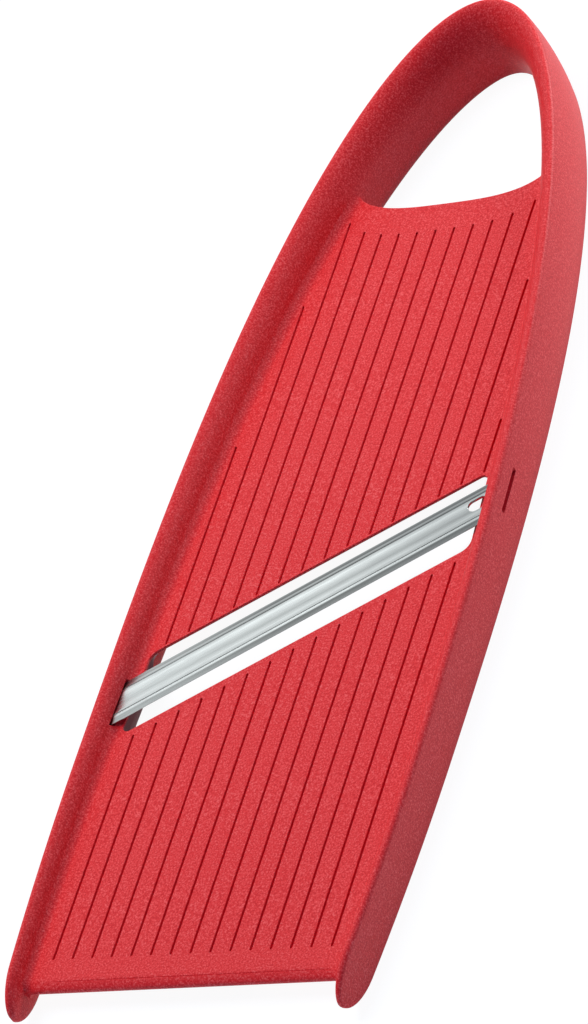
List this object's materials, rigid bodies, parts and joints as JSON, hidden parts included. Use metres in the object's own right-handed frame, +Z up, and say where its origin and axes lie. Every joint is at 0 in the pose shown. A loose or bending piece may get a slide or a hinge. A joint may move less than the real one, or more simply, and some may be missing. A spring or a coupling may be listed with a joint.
{
  "type": "vegetable slicer",
  "caption": "Flat hand-held vegetable slicer: a grooved bed between two rails that join in a handle loop, with a slanted double-edged steel blade that slides out through a slit in one rail.",
  "frame": {"origin": "middle of the bounding box in plan, on the plane that the rails stand on", "axes": "+Z up, +Y along the slicer towards the handle loop, +X across it towards the rail with the slit"},
  "size_m": [0.1044, 0.3314, 0.0249],
  "materials": {
    "body_plastic": "finely eroded matt red moulding",
    "blade_steel": "rolled stainless strip with ground edges"
  },
  "bodies": {
    "body": {"slicer_body": "body_plastic"},
    "blade": {"blade": "blade_steel"}
  },
  "joints": [
    {"name": "blade_slide", "type": "slide", "parent": "body", "child": "blade", "axis": [0.8526, 0.5224, 0.0077], "range_m": [0, 0.12]}
  ]
}
